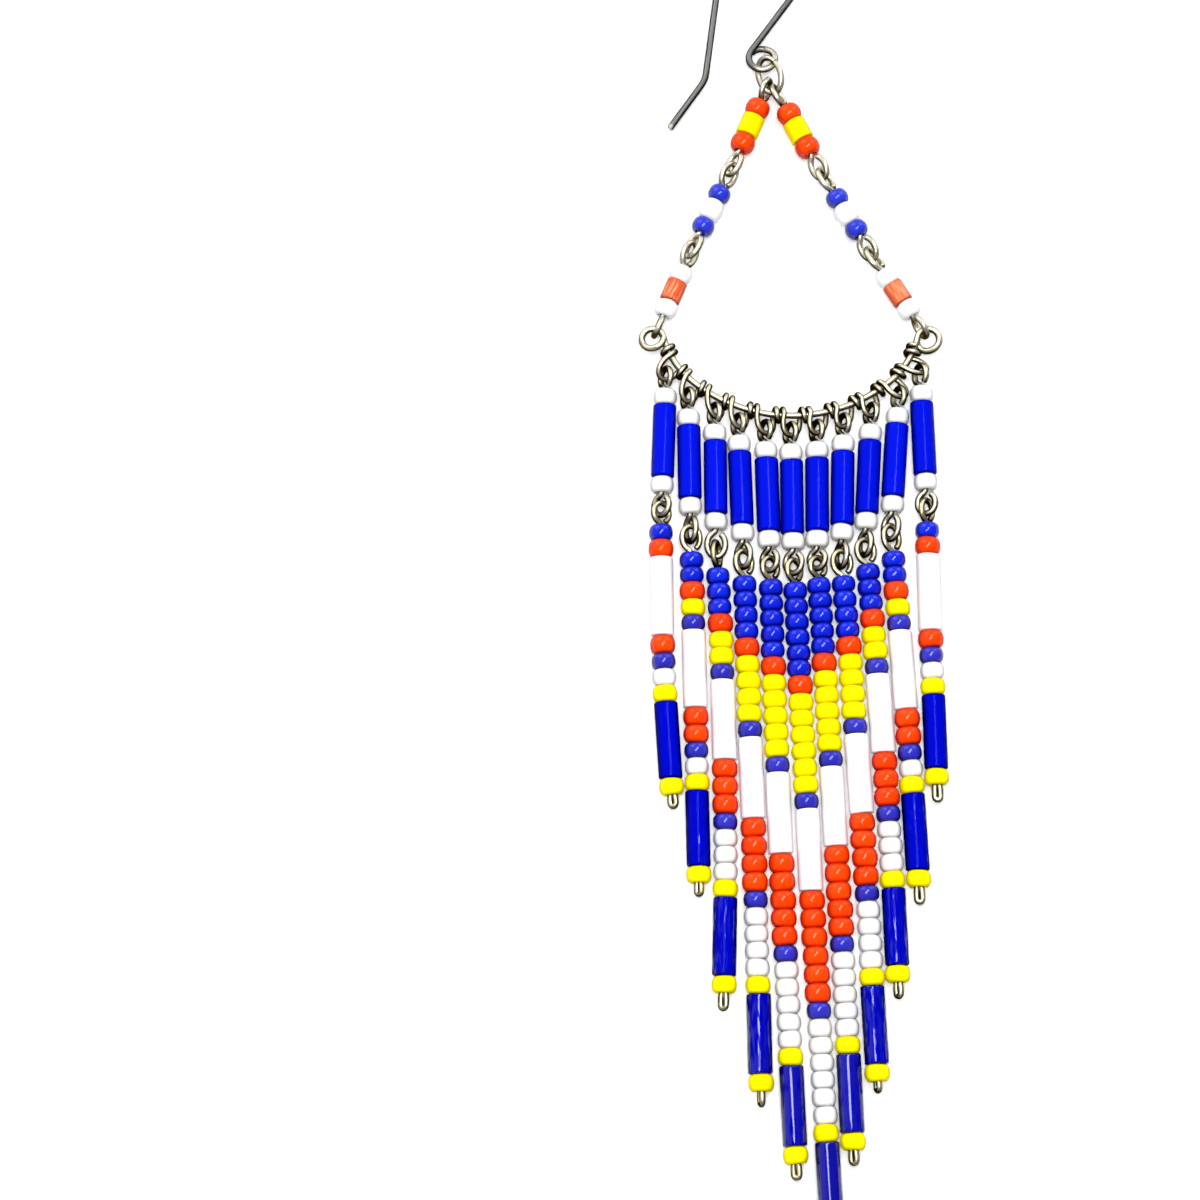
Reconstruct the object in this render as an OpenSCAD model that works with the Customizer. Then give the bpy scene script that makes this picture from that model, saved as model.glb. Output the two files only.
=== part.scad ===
// Beaded chandelier earring, lying flat: a wire ear hook, two side chains, a wound bar and eleven strands.

/* [Wires] */
// Diameter of the ear hook's steel wire
hook_wire_d = 0.5; // [0.45:0.01:0.51]
// Diameter of the jump ring's wire
ring_wire_d = 0.42; // [0.36:0.01:0.43]
// Diameter of the bowed bar's wire
bar_wire_d = 0.5; // [0.45:0.01:0.52]
// Diameter of the wire that is wound on the bar
winding_wire_d = 0.38; // [0.3:0.01:0.4]
// Diameter of the wire in every beaded link
link_wire_d = 0.4; // [0.34:0.01:0.42]

/* [Beads] */
// Diameter of an orange seed bead, the widest bead, on which the earring lies
orange_d = 2.06; // [1.9:0.01:2.08]
// Diameter of a yellow seed bead
yellow_d = 1.94; // [1.8:0.01:1.96]
// Diameter of a blue seed bead
blue_d = 1.88; // [1.75:0.01:1.9]
// Diameter of a white seed bead
white_d = 1.88; // [1.75:0.01:1.9]
// Diameter of a bugle bead, a long glass tube
bugle_d = 1.9; // [1.8:0.01:1.91]
// Diameter of the drilled hole in every bead
bore_d = 0.8; // [0.7:0.01:0.86]
// Clear gap between two beads, or two groups of beads, on one wire
bead_gap = 0.12; // [0.12:0.01:0.16]

/* [Bar] */
// Radius of the bar's shallow middle stretch
bar_middle_r = 13; // [12.8:0.05:13.2]
// Half angle of the shallow middle stretch
bar_middle_half = 39; // [38:0.5:40]
// Radius of the bar's steeper ends
bar_end_r = 7.5; // [7.3:0.05:7.7]
// Length of the bar from its middle to the foot of an end loop
bar_half = 13.75; // [13.7:0.01:13.8]
// Centre-line radius of the bar's round end loops
bar_loop_r = 0.92; // [0.9:0.01:0.94]
// Distance along the bar from one group of turns to the next
group_pitch = 2.25; // [2.24:0.005:2.26]
// Distance along the bar from one turn of the winding to the next
turn_pitch = 0.6; // [0.56:0.01:0.62]
// Depth of a hanging loop of the winding, below the bar
loop_depth = 1.75; // [1.72:0.01:1.78]

/* [Ear hook] */
// Radius of the crown that passes through the ear
crown_r = 4.1; // [3.9:0.05:4.2]
// Length of the straight stem between the loop and the crown
stem_len = 9.15; // [8.5:0.05:9.5]
// Length of the straight tail behind the ear
tail_len = 12.7; // [11:0.1:13]
// Length of the flicked tip of the tail
tip_len = 4.2; // [3.5:0.1:4.5]
// Centre-line radius of the hook's own loop
hook_loop_r = 1.13; // [1.12:0.01:1.15]

/* [Hidden] */
STRANDS = 11;
GROUPS = STRANDS + 1;

// The bar's middle, from the middle of the part's outline. Every other place is worked out from it.
bar_middle = [0, 11];
// All bead axes lie at one height, so that the widest beads touch the surface
axis_z = orange_d / 2;
wire_gap = 0.125;
// Straight wire that shows between an eye and its beads
neck = 0.06;

// Kinds of bead: colour, diameter, length on the wire, and whether it is a square-cut tube
COLOUR = 0;
WIDTH = 1;
LENGTH = 2;
TUBE = 3;
blue = [[0.1, 0.18, 0.9], blue_d, 1.31, false];
orange = [[1, 0.25, 0.05], orange_d, 1.48, false];
yellow = [[1, 0.93, 0.05], yellow_d, 1.36, false];
white = [[0.96, 0.96, 0.94], white_d, 1.37, false];
blue_bugle = [[0.03, 0.05, 0.75], bugle_d, 6.32, true];
white_bugle = [[0.97, 0.97, 0.95], bugle_d, 6.62, true];
yellow_tube = [[1, 0.95, 0.05], 1.8, 1.75, true];
orange_tube = [[1, 0.45, 0.25], 1.72, 1.75, true];

// How many blue, yellow and white beads the groups of a strand hold, from the outermost strand inwards
BLUES = [1, 2, 3, 4, 5, 6];
YELLOWS = [0, 1, 2, 4, 5, 6];
WHITES = [1, 1, 3, 4, 5, 6];

// How each strand lies, left to right, in degrees from straight down: LOOP is the lean of the hanging
// loop of the winding, SWING that of the eye in it, seen from the bar, UPPER that of the upper link,
// TOP and FOOT those of the lower link at its two ends. EYE is the radius of the eyes that join the two
// links, and GRADE the length of the beads against the nominal one.
LOOP = 0;
SWING = 1;
UPPER = 2;
TOP = 3;
FOOT = 4;
EYE = 5;
GRADE = 6;
LIE = [
    [-47, -30.8, -2.1, -1.1, 4.9, 0.70, 1.008],
    [-22, -14.7, 0.7, 1.2, 0.5, 0.83, 0.983],
    [-1, -0.7, 0.1, 2.8, -2.1, 0.84, 1.004],
    [-3, -3.0, 1.5, 1.5, 0.8, 0.78, 1.009],
    [0, -0.1, 1.1, 1.1, 2.2, 0.71, 1.005],
    [-5, -4.6, 0.4, 2.0, 2.7, 0.72, 1.010],
    [-6, -5.7, -0.8, 2.9, 1.9, 0.67, 0.986],
    [-3, -3.5, -1.9, 3.8, 1.6, 0.78, 0.991],
    [11, 8.0, -3.7, 4.5, 1.4, 0.77, 0.990],
    [43, 27.7, -4.6, 3.9, 2.2, 0.86, 0.998],
    [66, 45.7, 1.1, 0.0, 1.2, 0.72, 0.978]];
// Radius of the eye that hangs in the winding, and the distance of its centre from the bar
hang_r = 0.8;
eye_drop = 1.55;
// Roll of the eyes about their link, away from lying flat: neighbours in a chain cross at right angles
hang_roll = 60;
upper_roll = 45;
lower_roll = -45;

// The links of a side chain, from the ring down: beads, their length against the nominal one, the
// radius of the top eye and of the foot eye, and the roll of the foot eye
THREE = 0;
SIZE = 1;
TOP_R = 2;
FOOT_R = 3;
FOOT_ROLL = 4;
CHAIN = [
    [[orange, yellow_tube, orange], 1.06, 0.85, 0.95, 45],
    [[blue, white, blue], 1.16, 0.80, 0.80, 45],
    [[white, orange_tube, white], 1.07, 0.78, 0.75, 80]];
chain_roll = -45;
// Left and right: where the first link hangs, from the bar's middle, the roll of its eye in the jump
// ring, the leans of the first and second link, and the straight wire beside their beads
SIDES = ["left", "right"];
FIRST_EYE = [[-1.77, 29.46], [-0.77, 28.99]];
FIRST_ROLL = [-73, -62];
SIDE_LEAN = [[-22.5, -25.5], [27, 29]];
SIDE_NECK = [0.13, 0.22];

// The oval jump ring: place from the bar's middle, half axes, lean of the long axis and tilt
ring_at = [-1.46, 30.68];
ring_z = 1.28;
ring_long = 1.6;
ring_short = 1.1;
ring_lean = 21;
ring_tilt = 41.5;

// The ear hook: centre of its loop from the bar's middle, and the lie of its plane
hook_at = [-2.1, 32.29];
hook_z = 1.28;
stem_angle = 55.5;
crown_turn = 207;
tip_bend_r = 2.5;
tip_turn = -28.7;
hook_loop_turn = 300;
crown_y = hook_loop_r * cos(stem_angle) + stem_len * sin(stem_angle) + crown_r * (1 + cos(stem_angle));
// The crown touches the surface, and the ring holds the loop above it
hook_tilt = -asin((hook_z - hook_wire_d / 2) / crown_y);

// Directions in the plane of the surface, from a lean in degrees: along a link, and across it
function along(lean) = [sin(lean), -cos(lean), 0];
function across(lean) = [cos(lean), sin(lean), 0];
function rolled(lean, roll) = cos(roll) * across(lean) + sin(roll) * [0, 0, 1];
function flat(p, z = axis_z) = [bar_middle[0] + p[0], bar_middle[1] + p[1], z];
function unit(v) = v / norm(v);
function reversed(list) = [for (i = [len(list) - 1:-1:0]) list[i]];
function total(list, last) = last < 0 ? 0 : list[last] + total(list, last - 1);

// A wire swept along a path, closed on itself or with two flat ends. Each ring of points is carried on
// from the one before without twist.
function tangents(path, closed) = [
    for (i = [0:len(path) - 1])
        let (n = len(path))
        closed ? unit(path[(i + 1) % n] - path[(i + n - 1) % n])
            : unit(path[min(i + 1, n - 1)] - path[max(i - 1, 0)])];
function square_to(v, t) = unit(v - (v * t) * t);
function carried(start, dirs) = [
    for (i = 0, u = square_to(start, dirs[0]); i < len(dirs);
        i = i + 1, u = i < len(dirs) ? square_to(u, dirs[i]) : u) u];
function ring(centre, u, t, r, sides) = [
    for (k = [0:sides - 1])
        centre + r * (cos(360 * k / sides) * u + sin(360 * k / sides) * cross(t, u))];
module swept_wire(path, d, start = [0, 0, 1], sides = 6, closed = false) {
    dirs = tangents(path, closed);
    us = carried(start, dirs);
    n = len(path);
    points = [for (i = [0:n - 1]) each ring(path[i], us[i], dirs[i], d / 2, sides)];
    walls = [
        for (i = [0:closed ? n - 1 : n - 2], k = [0:sides - 1])
            let (a = i * sides, b = (i + 1) % n * sides, l = (k + 1) % sides)
            [a + k, b + k, b + l, a + l]];
    ends = closed ? [] : [
        [for (k = [0:sides - 1]) k],
        [for (k = [sides - 1:-1:0]) (n - 1) * sides + k]];
    polyhedron(points, concat(walls, ends));
}

// A wire bent in one plane, heading along +Y: each step is [length, 0] for a straight stretch, or
// [radius, turn] for a bend, which is positive to the left. A ball, a hair wider than the wire, joins
// each stretch to the one before.
joint_short = 0.03;
joint_proud = 0.01;
module bent_wire(steps, d, i = 0) {
    if (i < len(steps)) {
        size = steps[i][0];
        turn = steps[i][1];
        side = sign(turn);
        shorts = i < len(steps) - 1 ? [1, 1] : [1, 0];
        sphere(d = d + 2 * joint_proud, $fn = 48);
        if (turn == 0) {
            translate([0, joint_short, 0])
                rotate([-90, 0, 0])
                    cylinder(d = d, h = size - (shorts[0] + shorts[1]) * joint_short, $fn = 48);
            translate([0, size, 0])
                bent_wire(steps, d, i + 1);
        } else {
            short = joint_short / size * 180 / PI;
            translate([-side * size, 0, 0]) {
                rotate([0, 0, side > 0 ? short : 180 + turn + shorts[1] * short])
                    rotate_extrude(angle = abs(turn) - (shorts[0] + shorts[1]) * short, $fn = 96)
                        translate([size, 0])
                            circle(d = d, $fn = 48);
                rotate([0, 0, turn])
                    translate([side * size, 0, 0])
                        bent_wire(steps, d, i + 1);
            }
        }
    }
}

// The end of a link's wire: round an eye from its free end, then through the neck to the beads, which
// lie along dir
eye_steps = 10;
eye_open = 30;
eye_close = 332;
function eye(centre, dir, side, r) = concat(
    [for (k = [0:eye_steps])
        let (a = eye_open + (eye_close - eye_open) * k / eye_steps)
        centre + r * (sin(a) * side + cos(a) * dir)],
    [centre + r * (1.14 * dir - 0.13 * side)],
    [centre + 1.4 * r * dir]);
function reach(r, bare = neck) = r + link_wire_d / 2 + bare;
// Distance between the centres of two eyes that hang in each other
function held(r1, r2, d1 = link_wire_d, d2 = link_wire_d) = r1 + r2 - (d1 + d2) / 2 - wire_gap;

// The outline of one bead from its top end to its foot, as radius and place on the axis
bead_steps = 5;
bead_power = 2 / 2.6;
mouth = 0.56;
tube_edge = 0.12;
function outline(kind, grade, from) =
    let (r = kind[WIDTH] / 2, l = kind[LENGTH] * grade)
    kind[TUBE] ? [
        [r - tube_edge, from],
        [r, from + tube_edge],
        [r, from + l - tube_edge],
        [r - tube_edge, from + l]]
        : [for (k = [0:bead_steps])
            let (a = -90 + 180 * k / bead_steps, s = sin(a))
            [r * (mouth + (1 - mouth) * pow(abs(cos(a)), bead_power)),
                from + l / 2 + l / 2 * sign(s) * pow(abs(s), bead_power)]];

// A group of like beads on one axis, which starts at the origin and runs along +Z. Its ends are
// trimmed by half the gap to the next group.
module bead_group(kind, count, grade = 1) {
    step = kind[LENGTH] * grade;
    squeeze = (count * step - bead_gap) / (count * step);
    wall = [for (k = [0:count - 1]) each outline(kind, grade, k * step)];
    outer = [for (p = wall) [p[0], bead_gap / 2 + p[1] * squeeze]];
    first = outer[0][1];
    last = outer[len(outer) - 1][1];
    color(kind[COLOUR])
        rotate_extrude($fn = 48)
            polygon(concat([[bore_d / 2, first]], outer, [[bore_d / 2, last]]));
}
module laid(p, lean) {
    translate(p)
        rotate([90, 0, lean])
            children();
}
module bead_stack(p, lean, kinds, grade) {
    for (k = [0:len(kinds) - 1]) {
        before = total([for (kind = kinds) kind[LENGTH] * grade], k - 1);
        laid(p + before * along(lean), lean)
            bead_group(kinds[k], 1, grade);
    }
}
function stack_len(kinds, grade) = total([for (kind = kinds) kind[LENGTH] * grade], len(kinds) - 1);

// The bar: a point on its centre line and its slope, at a distance s from its middle
bar_middle_len = bar_middle_r * bar_middle_half * PI / 180;
function slope(s) = sign(s) * (abs(s) <= bar_middle_len ? abs(s) / bar_middle_r * 180 / PI
    : bar_middle_half + (abs(s) - bar_middle_len) / bar_end_r * 180 / PI);
function bar_point(s) =
    let (a = abs(slope(s)), m = min(a, bar_middle_half))
    flat([
        sign(s) * (bar_middle_r * sin(m) + bar_end_r * (sin(a) - sin(m))),
        bar_middle_r * (1 - cos(m)) + bar_end_r * (cos(m) - cos(a))]);
bar_end_turn = slope(bar_half) - bar_middle_half;
bar_loop_turn = 295;
// Centre of the round loop at an end of the bar
function bar_loop(side) = bar_point(side * bar_half)
    + bar_loop_r * [side * sin(slope(bar_half)), -cos(slope(bar_half)), 0];

module bar_wire() {
    color([0.72, 0.7, 0.58])
        translate(flat([0, 0]))
            for (side = [0, 1])
                mirror([side, 0, 0])
                    rotate([0, 0, -90])
                        bent_wire([
                            [bar_middle_r, bar_middle_half],
                            [bar_end_r, bar_end_turn],
                            [bar_loop_r, -bar_loop_turn]], bar_wire_d);
}

// The winding: one wire from end to end. A group of turns goes round the bar, and a hanging loop leads
// on to the next group.
turns = 1.5;
turn_steps = 10;
loop_steps = 8;
loop_bulge = 0.4;
// The wire is bent in flats, which clear the bar too
winding_r = ((bar_wire_d + winding_wire_d) / 2 + wire_gap) / cos(180 / turn_steps);
group_reach = turns / 2 * turn_pitch;
function group_at(k) = (k - (GROUPS - 1) / 2) * group_pitch;
function bar_below(s) = [sin(slope(s)), -cos(slope(s)), 0];
function turn_points(k) = [
    for (j = [0:turns * turn_steps])
        let (t = j / turn_steps, s = group_at(k) + t * turn_pitch - group_reach, a = -90 - 360 * t)
        bar_point(s) + winding_r * (cos(a) * bar_below(s) + sin(a) * [0, 0, 1])];
function loop_points(k) =
    let (s = (group_at(k) + group_at(k + 1)) / 2, half = group_pitch / 2 - group_reach)
    [for (j = [1:loop_steps - 1])
        let (a = 180 * j / loop_steps)
        bar_point(s) - half * cos(a) * (1 + loop_bulge * sin(a)) * across(slope(s))
            + loop_depth * sin(a) * along(LIE[k][LOOP]) + winding_r * cos(a) * [0, 0, 1]];
module bar_winding() {
    path = [for (k = [0:GROUPS - 1]) each concat(turn_points(k), k < STRANDS ? loop_points(k) : [])];
    color([0.8, 0.78, 0.65])
        swept_wire(path, winding_wire_d, start = [0, 1, 0]);
}

// Upper links: one wire with an eye at each end through a white bead, a blue bugle and a white bead
upper_beads_on = [white, blue_bugle, white];
function hang(i) = bar_point((i - (STRANDS + 1) / 2) * group_pitch) + eye_drop * along(LIE[i - 1][SWING]);
function upper_start(i) = hang(i) + reach(hang_r) * along(LIE[i - 1][UPPER]);
function upper_foot(i) = upper_start(i)
    + (stack_len(upper_beads_on, 1) + reach(LIE[i - 1][EYE])) * along(LIE[i - 1][UPPER]);
module upper_wire(i) {
    lie = LIE[i - 1];
    dir = along(lie[UPPER]);
    color([0.72, 0.7, 0.58])
        swept_wire(concat(
            eye(hang(i), dir, rolled(lie[UPPER], hang_roll), hang_r),
            reversed(eye(upper_foot(i), -dir, rolled(lie[UPPER], upper_roll), lie[EYE]))),
            link_wire_d);
}
module upper_beads(i) {
    bead_stack(upper_start(i), LIE[i - 1][UPPER], upper_beads_on, 1);
}

// Lower links. A row is a group of like beads: [kind, count].
KIND = 0;
COUNT = 1;
function rank(i) = min(i, STRANDS + 1 - i) - 1;
function rows(i) = [
    for (row = [
        [blue, BLUES[rank(i)]],
        [orange, 1],
        [yellow, YELLOWS[rank(i)]],
        [blue, YELLOWS[rank(i)] > 0 ? 1 : 0],
        [white_bugle, 1],
        [orange, BLUES[rank(i)]],
        [blue, 1],
        [white, WHITES[rank(i)]],
        [yellow, 1],
        [blue_bugle, 1],
        [yellow, 1]])
        if (row[COUNT] > 0) row];
function row_len(i, row) = row[KIND][LENGTH] * row[COUNT] * LIE[i - 1][GRADE];
function row_start(i, k) = reach(LIE[i - 1][EYE]) + total([for (row = rows(i)) row_len(i, row)], k - 1);
function strand_len(i) = row_start(i, len(rows(i)));
function strand_top(i) =
    let (lie = LIE[i - 1])
    upper_foot(i) + held(lie[EYE], lie[EYE]) * along((lie[UPPER] + lie[TOP]) / 2);
// The lean changes evenly from the top to the foot, so the strand lies in a slight arc
function strand_lean(i, s) = LIE[i - 1][TOP] + (LIE[i - 1][FOOT] - LIE[i - 1][TOP]) * s / strand_len(i);
function strand_point(i, s) = strand_top(i) + s * along((LIE[i - 1][TOP] + strand_lean(i, s)) / 2);

// The narrow loop at a strand's foot: the wire is bent back on itself below the last bead
foot_half = 0.275;
foot_len = 1;
foot_roll = 12;
function foot_loop(p, dir, side) =
    let (arc = foot_len - foot_half)
    concat(
        [p, p + 0.16 * dir - 0.5 * foot_half * side, p + 0.42 * dir - foot_half * side],
        [for (a = [180:45:360]) p + arc * dir + foot_half * (cos(a) * side - sin(a) * dir)],
        [p + 0.46 * dir + foot_half * side]);

module strand_wire(i) {
    lie = LIE[i - 1];
    stops = [for (k = [1:4]) reach(lie[EYE]) + (strand_len(i) - reach(lie[EYE])) * k / 4];
    foot = strand_lean(i, strand_len(i));
    color([0.76, 0.68, 0.45])
        swept_wire(concat(
            eye(strand_top(i), along(lie[TOP]), rolled(lie[TOP], lower_roll), lie[EYE]),
            [for (s = [for (k = [0:2]) stops[k]]) strand_point(i, s)],
            foot_loop(strand_point(i, strand_len(i)), along(foot), rolled(foot, foot_roll))),
            link_wire_d);
}
module strand_beads(i) {
    list = rows(i);
    for (k = [0:len(list) - 1]) {
        from = row_start(i, k);
        middle = from + row_len(i, list[k]) / 2;
        laid(strand_point(i, from), strand_lean(i, middle))
            bead_group(list[k][KIND], list[k][COUNT], LIE[i - 1][GRADE]);
    }
}

// Side chains. The third link leans, and is bare beside its beads, just as it must to reach from the
// second to the bar's end loop.
function eyes_and_beads(k) = CHAIN[k][TOP_R] + CHAIN[k][FOOT_R] + link_wire_d
    + stack_len(CHAIN[k][THREE], CHAIN[k][SIZE]);
function lean_of(a, b) = atan2(b[0] - a[0], a[1] - b[1]);
// The links of one side: [centre of the top eye, lean, straight wire beside the beads]
function side_links(side) =
    let (
        lean = SIDE_LEAN[side],
        bare = SIDE_NECK[side],
        first = flat(FIRST_EYE[side]),
        second = first + (eyes_and_beads(0) + 2 * bare) * along(lean[0])
            + held(CHAIN[0][FOOT_R], CHAIN[1][TOP_R]) * along((lean[0] + lean[1]) / 2),
        foot = second + (eyes_and_beads(1) + 2 * bare) * along(lean[1]),
        end = bar_loop(side == 0 ? -1 : 1),
        third = foot + held(CHAIN[1][FOOT_R], CHAIN[2][TOP_R]) * along((lean[1] + lean_of(foot, end)) / 2),
        last = norm(end - third) - held(CHAIN[2][FOOT_R], bar_loop_r, link_wire_d, bar_wire_d))
    [[first, lean[0], bare], [second, lean[1], bare],
        [third, lean_of(third, end), (last - eyes_and_beads(2)) / 2]];
module side_wire(side, k) {
    at = side_links(side)[k];
    link = CHAIN[k];
    dir = along(at[1]);
    foot = at[0] + (eyes_and_beads(k) + 2 * at[2]) * dir;
    top_side = rolled(at[1], k == 0 ? FIRST_ROLL[side] : chain_roll);
    foot_side = rolled(at[1], link[FOOT_ROLL]);
    color([0.72, 0.7, 0.58])
        swept_wire(concat(
            eye(at[0], dir, top_side, link[TOP_R]),
            reversed(eye(foot, -dir, foot_side, link[FOOT_R]))),
            link_wire_d);
}
module side_beads(side, k) {
    at = side_links(side)[k];
    link = CHAIN[k];
    bead_stack(at[0] + reach(link[TOP_R], at[2]) * along(at[1]), at[1], link[THREE], link[SIZE]);
}

module jump_ring() {
    steps = 20;
    centre = flat(ring_at, ring_z);
    color([0.75, 0.73, 0.6])
        swept_wire([
            for (k = [0:steps - 1])
                let (a = 360 * k / steps)
                centre + ring_long * cos(a) * along(ring_lean)
                    + ring_short * sin(a) * rolled(ring_lean, ring_tilt)],
            ring_wire_d, start = cross(along(ring_lean), rolled(ring_lean, ring_tilt)), closed = true);
}

// The ear hook is drawn from where its stem touches its loop: up the stem, over the crown, down the tail
module ear_hook() {
    color([0.3, 0.3, 0.3])
        translate(flat(hook_at, hook_z))
            rotate([hook_tilt, 0, 0])
                rotate([0, 0, stem_angle - 90])
                    translate([-hook_loop_r, 0, 0]) {
                        bent_wire([
                            [stem_len, 0],
                            [crown_r, crown_turn],
                            [tail_len, 0],
                            [tip_bend_r, tip_turn],
                            [tip_len, 0]], hook_wire_d);
                        rotate([0, 0, 180])
                            bent_wire([[hook_loop_r, hook_loop_turn]], hook_wire_d);
                    }
}

ear_hook();
jump_ring();
bar_wire();
bar_winding();
for (side = [0, 1], k = [0:2]) {
    side_wire(side, k);
    side_beads(side, k);
}
for (i = [1:STRANDS]) {
    upper_wire(i);
    upper_beads(i);
    strand_wire(i);
    strand_beads(i);
}
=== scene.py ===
"""A beaded chandelier earring that lies flat on a white table."""
import math

import bpy
import numpy as np
from mathutils import Matrix


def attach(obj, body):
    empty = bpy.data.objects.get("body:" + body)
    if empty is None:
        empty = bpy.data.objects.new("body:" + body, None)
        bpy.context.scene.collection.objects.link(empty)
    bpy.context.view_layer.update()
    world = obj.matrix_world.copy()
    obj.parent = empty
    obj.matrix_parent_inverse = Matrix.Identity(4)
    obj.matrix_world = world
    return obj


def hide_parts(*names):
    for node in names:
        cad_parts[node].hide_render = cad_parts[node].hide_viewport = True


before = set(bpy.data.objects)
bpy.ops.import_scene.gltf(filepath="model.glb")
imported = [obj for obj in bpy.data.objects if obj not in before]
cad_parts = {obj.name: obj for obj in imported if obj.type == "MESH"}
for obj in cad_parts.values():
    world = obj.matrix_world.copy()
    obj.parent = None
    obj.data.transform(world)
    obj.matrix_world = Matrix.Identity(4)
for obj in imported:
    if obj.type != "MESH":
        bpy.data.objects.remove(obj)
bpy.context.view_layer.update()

# Bar: the bowed wire that carries the eleven strands. It is a pale copper alloy, bent by hand to a
# shallow middle and steeper ends. Each end is turned into a round loop that a side chain hangs in.
MM = 0.001
UP = np.array([0.0, 0.0, 1.0])
# Beads and bar lie with their middles at this height, since the widest beads rest on the table
AXIS_Z = 1.03
BAR_MIDDLE = np.array([0.0, 11.0, AXIS_Z])
BAR_WIRE = 0.55
BAR_MIDDLE_R = 13.0
BAR_MIDDLE_HALF = math.radians(39)
BAR_END_R = 7.5
BAR_HALF = 13.75
BAR_LOOP_R = 0.92
BAR_LOOP_TURN = 338
# The turns between which a loop's free end bends off to lie beside the bar, and the gap left there
BAR_LOOP_BEND = (190, 300)
BAR_LOOP_GAP = 0.02
BAR_POINTS = 61
BAR_LOOP_POINTS = 24
chance = np.random.default_rng(11)


def along(lean):
    """The direction of a link that leans so many degrees from straight down."""
    return np.array([math.sin(math.radians(lean)), -math.cos(math.radians(lean)), 0.0])


def across(lean):
    """The direction square to along(lean): to the right, for a link that hangs straight down."""
    return np.array([math.cos(math.radians(lean)), math.sin(math.radians(lean)), 0.0])


def slope(s):
    """The bar's slope in degrees, at a distance s from its middle."""
    shallow = min(abs(s), BAR_MIDDLE_R * BAR_MIDDLE_HALF)
    turn = shallow / BAR_MIDDLE_R + (abs(s) - shallow) / BAR_END_R
    return math.degrees(math.copysign(turn, s))


def bar_point(s):
    """The place on the bar at a distance s from its middle."""
    turn = math.radians(abs(slope(s)))
    shallow = min(turn, BAR_MIDDLE_HALF)
    x = BAR_MIDDLE_R * math.sin(shallow) + BAR_END_R * (math.sin(turn) - math.sin(shallow))
    y = BAR_MIDDLE_R * (1 - math.cos(shallow)) + BAR_END_R * (math.cos(shallow) - math.cos(turn))
    return BAR_MIDDLE + [math.copysign(x, s), y, 0]


def bar_loop(side):
    """The centre of the round loop at an end of the bar."""
    out = along(slope(BAR_HALF)) * [side, 1, 1]
    return bar_point(side * BAR_HALF) + BAR_LOOP_R * out


def past(value, low, high):
    """0 below low, 1 above high, and smooth between them."""
    share = min(max((value - low) / (high - low), 0), 1)
    return share * share * (3 - 2 * share)


def bar_loop_points(side):
    """Round an end loop. Its free end lies against the bar, over it on the left and else under it."""
    return [
        bar_loop(side) - BAR_LOOP_R * along(slope(BAR_HALF) - turn) * [side, 1, 1]
        - side * (BAR_WIRE + BAR_LOOP_GAP) * past(turn, *BAR_LOOP_BEND) * UP
        for turn in np.linspace(0, BAR_LOOP_TURN, BAR_LOOP_POINTS)[1:]]


WIRE_SIDES = 14
WIRE_STEP = 0.12
MOST_STEPS = 12


def smooth(points):
    """Points about a step apart, on a curve that passes through the given ones."""
    points = [np.asarray(p, float) for p in points]
    points = [2 * points[0] - points[1]] + points + [2 * points[-1] - points[-2]]
    curve = []
    for a, b, c, d in zip(points, points[1:], points[2:], points[3:]):
        knots = np.cumsum([0.0] + [math.sqrt(np.linalg.norm(q - p)) for p, q in ((a, b), (b, c), (c, d))])
        count = int(min(max(round(np.linalg.norm(c - b) / WIRE_STEP), 1), MOST_STEPS))
        for t in knots[1] + (knots[2] - knots[1]) * np.arange(count) / count:
            level = [a, b, c, d]
            for lows, highs in (((0, 1, 2), (1, 2, 3)), ((0, 1), (2, 3)), ((1,), (2,))):
                level = [
                    ((knots[high] - t) * level[n] + (t - knots[low]) * level[n + 1])
                    / (knots[high] - knots[low])
                    for n, (low, high) in enumerate(zip(lows, highs))]
            curve.append(level[0])
    return np.array(curve + [points[-2]])


# How uneven a drawn wire is, against its width, the two waves of that along it, and how much its grain
# is drawn out along it
UNEVEN = 0.012
SWELLS = (1.9, 0.7)
DRAWN_OUT = 0.35
# How a nipped end narrows: how far past the end of the path, and the radius there, against the wire's
TIP_RINGS = ((0.26, 0.55), (0.2, 0.8), (0.12, 0.94), (0.0, 1.0))


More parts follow.
